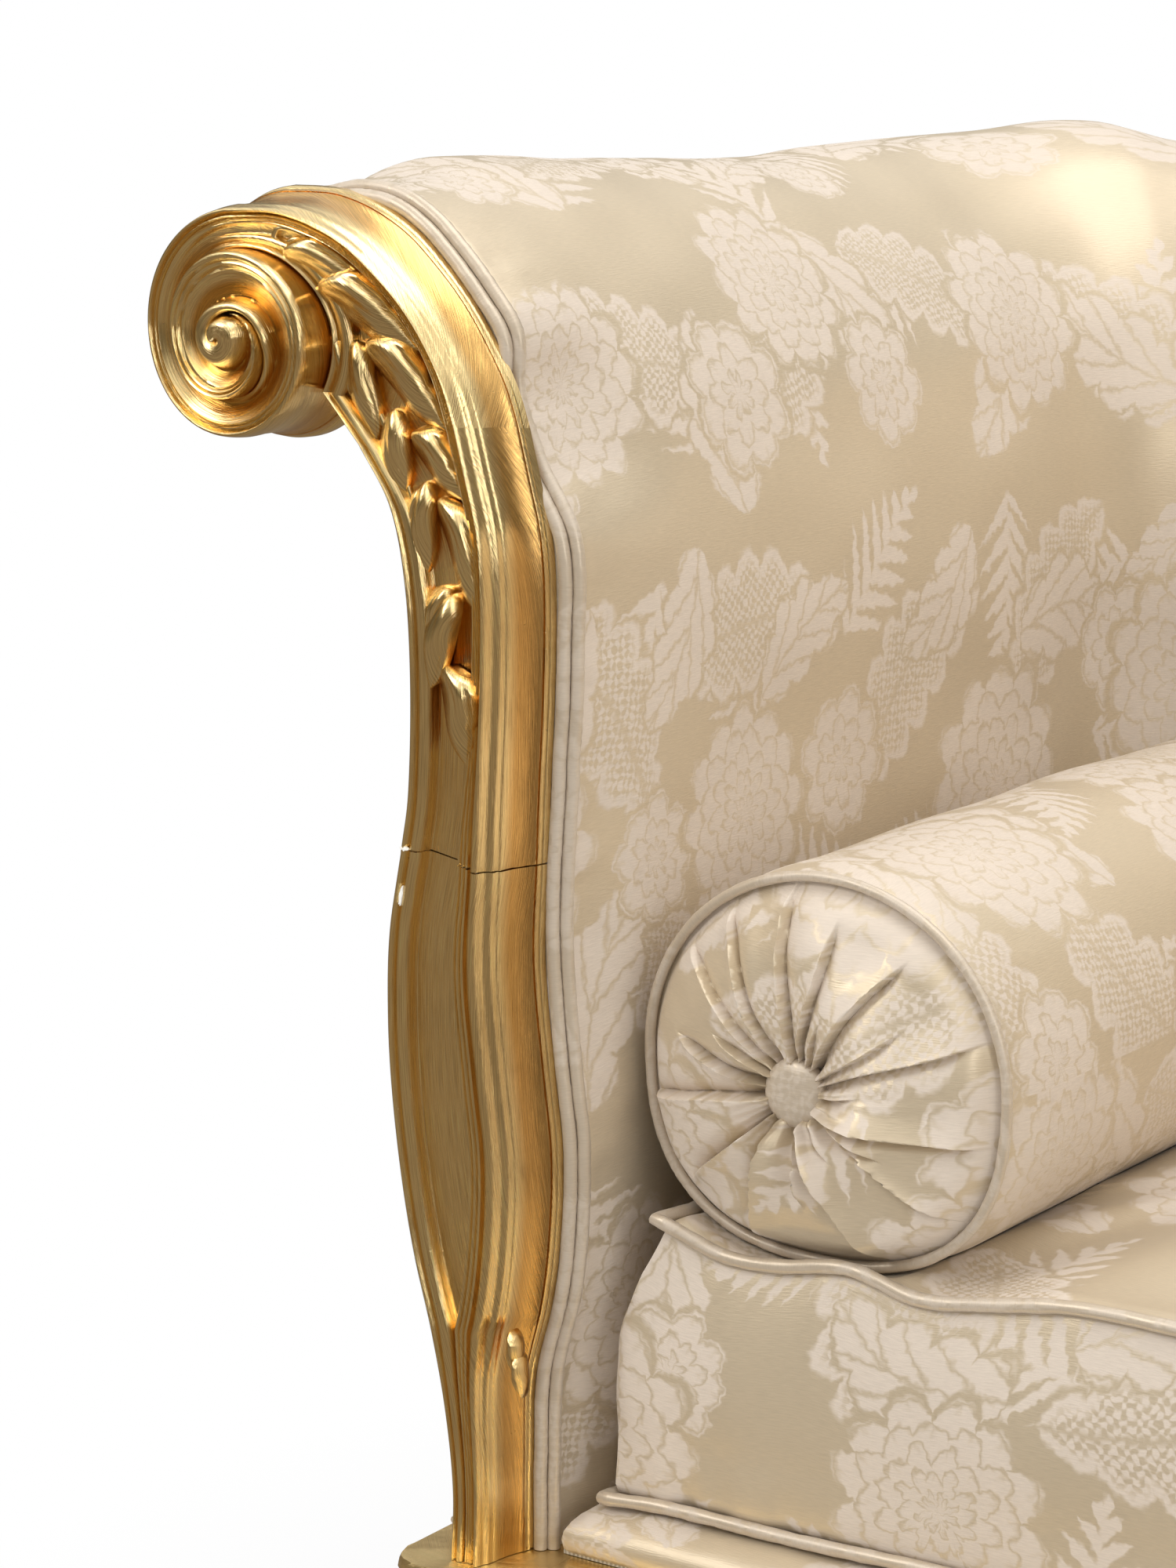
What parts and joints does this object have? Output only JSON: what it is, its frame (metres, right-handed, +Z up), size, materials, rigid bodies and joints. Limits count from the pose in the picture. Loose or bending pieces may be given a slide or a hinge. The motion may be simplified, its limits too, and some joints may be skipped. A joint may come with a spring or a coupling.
{
  "type": "sofa",
  "caption": "Gilt scroll-arm sofa: carved volute posts, rolled damask arms and back, loose boxed seat cushion and round bolsters.",
  "frame": {"origin": "on the floor under the middle of the sofa", "axes": "+Z up, front towards -Y, +X towards the right as seen from the front, as the node names have it"},
  "size_m": [1.963, 0.8542, 0.9855],
  "materials": {
    "gilt_wood": "burnished gold leaf on carved wood",
    "damask": "champagne silk damask with a woven flower pattern",
    "cord_fabric": "piping cord covered with the damask",
    "beech": "plain sawn hardwood, hidden",
    "jute_web": "woven jute webbing",
    "spring_steel": "coppered spring wire",
    "canvas": "plain woven canvas",
    "glide_steel": "domed nail glide"
  },
  "bodies": {
    "frame": {"arm_pad_left": "damask", "arm_pad_right": "damask", "arm_post_left": "gilt_wood", "arm_post_right": "gilt_wood", "arm_scroll_left": "gilt_wood", "arm_scroll_right": "gilt_wood", "arm_top_rail_left": "beech", "arm_top_rail_right": "beech", "arm_welt_left": "cord_fabric", "arm_welt_right": "cord_fabric", "back_pad": "damask", "back_rail": "gilt_wood", "back_stile_left": "beech", "back_stile_right": "beech", "back_top_rail": "beech", "corner_post_left": "beech", "corner_post_right": "beech", "cross_rail_left": "beech", "cross_rail_right": "beech", "dust_cover": "canvas", "front_glide_left": "glide_steel", "front_glide_middle": "glide_steel", "front_glide_right": "glide_steel", "front_leg_left": "gilt_wood", "front_leg_middle": "gilt_wood", "front_leg_right": "gilt_wood", "front_rail": "gilt_wood", "outside_arm_left": "damask", "outside_arm_right": "damask", "outside_back": "damask", "rear_glide_left": "glide_steel", "rear_glide_middle": "glide_steel", "rear_glide_right": "glide_steel", "rear_leg_left": "gilt_wood", "rear_leg_middle": "gilt_wood", "rear_leg_right": "gilt_wood", "seat_deck": "damask", "seat_springs_back": "spring_steel", "seat_springs_front": "spring_steel", "seat_webbing": "jute_web", "side_rail_left": "gilt_wood", "side_rail_right": "gilt_wood", "spring_canvas": "canvas"},
    "seat_cushion": {"seat_cushion": "damask", "seat_piping_bottom": "cord_fabric", "seat_piping_top": "cord_fabric"},
    "bolster_left": {"bolster_button_front_left": "damask", "bolster_button_rear_left": "damask", "bolster_left": "damask", "bolster_piping_front_left": "cord_fabric", "bolster_piping_rear_left": "cord_fabric"},
    "bolster_right": {"bolster_button_front_right": "damask", "bolster_button_rear_right": "damask", "bolster_piping_front_right": "cord_fabric", "bolster_piping_rear_right": "cord_fabric", "bolster_right": "damask"}
  },
  "joints": [
    {"name": "seat_cushion_lift", "type": "slide", "parent": "frame", "child": "seat_cushion", "axis": [0, 0, 1], "range_m": [0, 0.65]},
    {"name": "bolster_left_lift", "type": "slide", "parent": "seat_cushion", "child": "bolster_left", "axis": [0, 0, 1], "range_m": [0, 0.5]},
    {"name": "bolster_right_lift", "type": "slide", "parent": "seat_cushion", "child": "bolster_right", "axis": [0, 0, 1], "range_m": [0, 0.5]}
  ]
}
